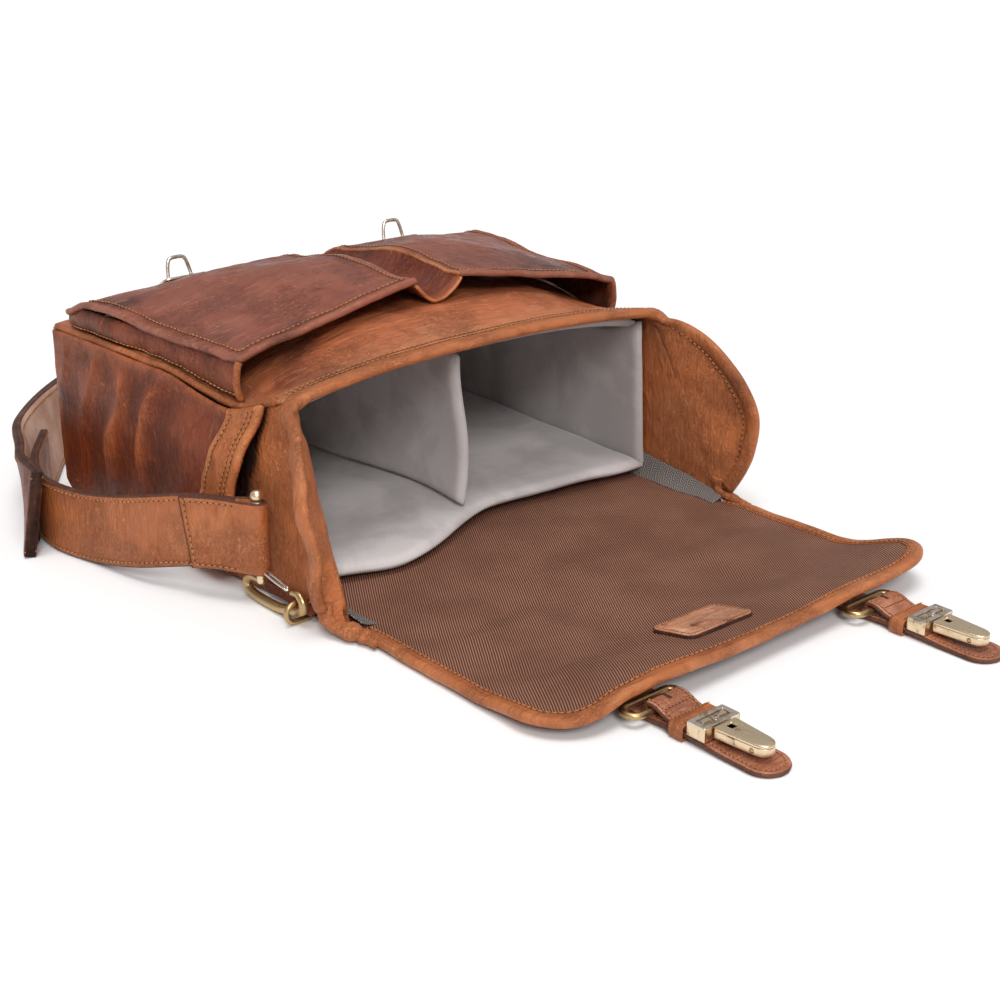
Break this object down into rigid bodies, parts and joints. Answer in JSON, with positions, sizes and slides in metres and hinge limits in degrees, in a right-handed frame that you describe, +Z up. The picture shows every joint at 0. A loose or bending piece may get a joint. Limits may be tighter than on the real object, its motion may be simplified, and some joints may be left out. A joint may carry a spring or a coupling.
{
  "type": "camera bag",
  "caption": "Leather camera bag lying on its back with the flap open: padded insert with divider, front pockets, clasp straps, shoulder strap on snap hooks.",
  "frame": {"origin": "lower face of the back panel, in the middle of the bag's width, 8 mm inside the flap's hinge line", "axes": "+X along the mouth, +Y from the mouth to the bottom of the bag, +Z up from the back panel that the bag lies on"},
  "size_m": [0.3874, 0.6256, 0.1469],
  "materials": {
    "leather_brown": "pull-up leather with soft wrinkles, satin",
    "leather_dark": "dark mottled pull-up leather with light scratches",
    "leather_tan": "tan leather, smooth, satin",
    "twill_brown": "diagonal twill, matt",
    "velour_grey": "brushed velour over foam",
    "brass_aged": "aged brass, satin",
    "steel_catch": "dulled nickel plate"
  },
  "bodies": {
    "root": {"back_panel": "leather_brown", "front_panel": "leather_brown", "bottom_panel": "leather_brown", "mouth_binding": "leather_tan", "pocket_valley": "leather_dark", "insert_back": "velour_grey", "insert_front": "velour_grey", "insert_floor": "velour_grey", "shoulder_strap_left": "leather_tan", "shoulder_strap_right": "leather_tan", "shoulder_pad": "leather_dark", "gusset_left": "leather_brown", "gusset_right": "leather_brown", "slip_pocket_left": "leather_brown", "slip_pocket_right": "leather_brown", "pocket_face_left": "leather_dark", "pocket_face_right": "leather_dark", "pocket_wall_left": "leather_dark", "pocket_wall_right": "leather_dark", "loop_plate_left": "steel_catch", "loop_plate_right": "steel_catch", "wire_loop_left": "steel_catch", "wire_loop_right": "steel_catch", "insert_left": "velour_grey", "insert_right": "velour_grey", "ring_tab_left": "leather_brown", "ring_tab_right": "leather_brown"},
    "divider": {"divider": "velour_grey"},
    "flap_top": {"flap_leather_top": "leather_brown", "flap_lining_top": "twill_brown", "flap_binding_left": "leather_tan", "flap_binding_right": "leather_tan", "flap_label": "leather_brown"},
    "flap_front": {"flap_leather_front": "leather_brown", "flap_lining_front": "twill_brown", "flap_binding_front": "leather_tan", "flap_strap_left": "leather_brown", "flap_strap_right": "leather_brown"},
    "ear_left": {"ear_left": "leather_tan"},
    "closure_left": {"closure_strap_left": "leather_brown", "clasp_tab_left": "leather_brown", "strap_keeper_left": "leather_tan", "buckle_ring_left": "brass_aged", "clasp_frame_left": "brass_aged", "lever_pin_left": "brass_aged"},
    "lever_left": {"clasp_lever_left": "brass_aged"},
    "ring_left": {"d_ring_left": "brass_aged"},
    "hook_left": {"snap_hook_left": "brass_aged"},
    "gate_left": {"hook_gate_left": "steel_catch"},
    "ear_right": {"ear_right": "leather_tan"},
    "closure_right": {"closure_strap_right": "leather_brown", "clasp_tab_right": "leather_brown", "strap_keeper_right": "leather_tan", "buckle_ring_right": "brass_aged", "clasp_frame_right": "brass_aged", "lever_pin_right": "brass_aged"},
    "lever_right": {"clasp_lever_right": "brass_aged"},
    "ring_right": {"d_ring_right": "brass_aged"},
    "hook_right": {"snap_hook_right": "brass_aged"},
    "gate_right": {"hook_gate_right": "steel_catch"}
  },
  "joints": [
    {"name": "flap_hinge", "type": "hinge", "parent": "root", "child": "flap_top", "pos_m": [0, -0.008, 0.0035], "axis": [-1, 0, 0], "range_deg": [0, 92]},
    {"name": "flap_fold", "type": "hinge", "parent": "flap_top", "child": "flap_front", "pos_m": [0, -0.1345, 0.0115], "axis": [-1, 0, 0], "range_deg": [0, 60]},
    {"name": "ear_left_fold", "type": "hinge", "parent": "root", "child": "ear_left", "pos_m": [-0.1352, -0.002, 0.006], "axis": [0.0447, 0.4468, 0.8935], "range_deg": [0, 102]},
    {"name": "closure_left_swing", "type": "hinge", "parent": "flap_front", "child": "closure_left", "pos_m": [-0.08, -0.163, 0.0055], "axis": [-1, 0, 0], "range_deg": [0, 12]},
    {"name": "lever_left_press", "type": "hinge", "parent": "closure_left", "child": "lever_left", "pos_m": [-0.08, -0.2205, 0.0079], "axis": [1, 0, 0], "range_deg": [0, 10], "stiffness_Nm_per_rad": 0.05},
    {"name": "ring_left_swing", "type": "hinge", "parent": "root", "child": "ring_left", "pos_m": [-0.1421, 0.0225, 0.007], "axis": [0, 0, -1], "range_deg": [-3, 5]},
    {"name": "hook_left_turn", "type": "hinge", "parent": "root", "child": "hook_left", "pos_m": [-0.15, 0.054, 0.03], "axis": [0, 0, 1], "range_deg": [-3, 3]},
    {"name": "gate_left_open", "type": "hinge", "parent": "hook_left", "child": "gate_left", "pos_m": [-0.15, 0.0498, 0.0198], "axis": [1, 0, 0], "range_deg": [0, 25], "stiffness_Nm_per_rad": 0.02},
    {"name": "ear_right_fold", "type": "hinge", "parent": "root", "child": "ear_right", "pos_m": [0.1352, -0.002, 0.006], "axis": [0.0447, -0.4468, -0.8935], "range_deg": [0, 102]},
    {"name": "closure_right_swing", "type": "hinge", "parent": "flap_front", "child": "closure_right", "pos_m": [0.08, -0.163, 0.0055], "axis": [-1, 0, 0], "range_deg": [0, 12]},
    {"name": "lever_right_press", "type": "hinge", "parent": "closure_right", "child": "lever_right", "pos_m": [0.08, -0.2205, 0.0079], "axis": [1, 0, 0], "range_deg": [0, 10], "stiffness_Nm_per_rad": 0.05},
    {"name": "ring_right_swing", "type": "hinge", "parent": "root", "child": "ring_right", "pos_m": [0.1421, 0.0225, 0.007], "axis": [0, 0, 1], "range_deg": [-3, 5]},
    {"name": "hook_right_turn", "type": "hinge", "parent": "root", "child": "hook_right", "pos_m": [0.15, 0.054, 0.03], "axis": [0, 0, 1], "range_deg": [-3, 3]},
    {"name": "gate_right_open", "type": "hinge", "parent": "hook_right", "child": "gate_right", "pos_m": [0.15, 0.0498, 0.0198], "axis": [1, 0, 0], "range_deg": [0, 25], "stiffness_Nm_per_rad": 0.02},
    {"name": "divider_slide", "type": "slide", "parent": "root", "child": "divider", "axis": [1, 0, 0], "range_m": [-0.025, 0.025]}
  ],
  "couplings": [
    {"joint": "ear_left_fold", "follows": "flap_hinge", "ratio": 1.1},
    {"joint": "ear_right_fold", "follows": "flap_hinge", "ratio": 1.1}
  ]
}
